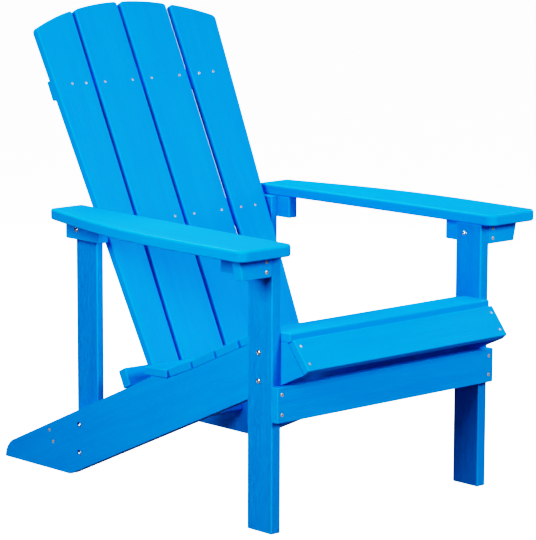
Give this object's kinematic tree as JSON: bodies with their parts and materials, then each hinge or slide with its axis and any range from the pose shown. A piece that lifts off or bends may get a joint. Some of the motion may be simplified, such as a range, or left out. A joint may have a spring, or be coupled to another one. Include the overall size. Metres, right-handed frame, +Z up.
{
  "type": "adirondack chair",
  "caption": "Slatted garden armchair with a reclined, arched and slightly hollow back, broad tapering arms, and a seat sloping back along stringers that reach the floor behind.",
  "frame": {"origin": "on the floor, below the middle of the chair's bounding box", "axes": "+Z up, +Y towards the back of the chair, +X to the left hand of someone sitting in it; the plane x = 0 is the plane of symmetry"},
  "size_m": [0.764, 0.8854, 0.902],
  "materials": {
    "blue_lumber": "satin bright blue plastic lumber with a fine embossed wood grain along each board",
    "stainless": "bright stainless steel fasteners"
  },
  "bodies": {
    "root": {"arm_left": "blue_lumber", "arm_right": "blue_lumber", "back_slat_1": "blue_lumber", "back_slat_2": "blue_lumber", "back_slat_3": "blue_lumber", "back_slat_4": "blue_lumber", "front_apron": "blue_lumber", "front_arm_block_left": "blue_lumber", "front_arm_block_right": "blue_lumber", "front_block_bolt_left": "stainless", "front_block_bolt_right": "stainless", "front_block_nut_left": "stainless", "front_block_nut_right": "stainless", "front_corbel_left": "blue_lumber", "front_corbel_right": "blue_lumber", "front_crossbar": "blue_lumber", "front_leg_bolt_lower_left": "stainless", "front_leg_bolt_lower_right": "stainless", "front_leg_bolt_upper_left": "stainless", "front_leg_bolt_upper_right": "stainless", "front_leg_left": "blue_lumber", "front_leg_nut_lower_left": "stainless", "front_leg_nut_lower_right": "stainless", "front_leg_nut_upper_left": "stainless", "front_leg_nut_upper_right": "stainless", "front_leg_right": "blue_lumber", "lower_back_rail": "blue_lumber", "mid_back_rail": "blue_lumber", "rear_arm_block_left": "blue_lumber", "rear_arm_block_right": "blue_lumber", "rear_block_bolt_left": "stainless", "rear_block_bolt_right": "stainless", "rear_leg_bolt_lower_left": "stainless", "rear_leg_bolt_lower_right": "stainless", "rear_leg_bolt_upper_left": "stainless", "rear_leg_bolt_upper_right": "stainless", "rear_leg_left": "blue_lumber", "rear_leg_nut_lower_left": "stainless", "rear_leg_nut_lower_right": "stainless", "rear_leg_nut_upper_left": "stainless", "rear_leg_nut_upper_right": "stainless", "rear_leg_right": "blue_lumber", "rear_stretcher": "blue_lumber", "seat_slat_1": "blue_lumber", "seat_slat_2": "blue_lumber", "seat_slat_3": "blue_lumber", "seat_slat_4": "blue_lumber", "seat_slat_5": "blue_lumber", "seat_slat_front": "blue_lumber", "stringer_left": "blue_lumber", "stringer_right": "blue_lumber", "upper_back_batten": "blue_lumber"}
  },
  "joints": []
}
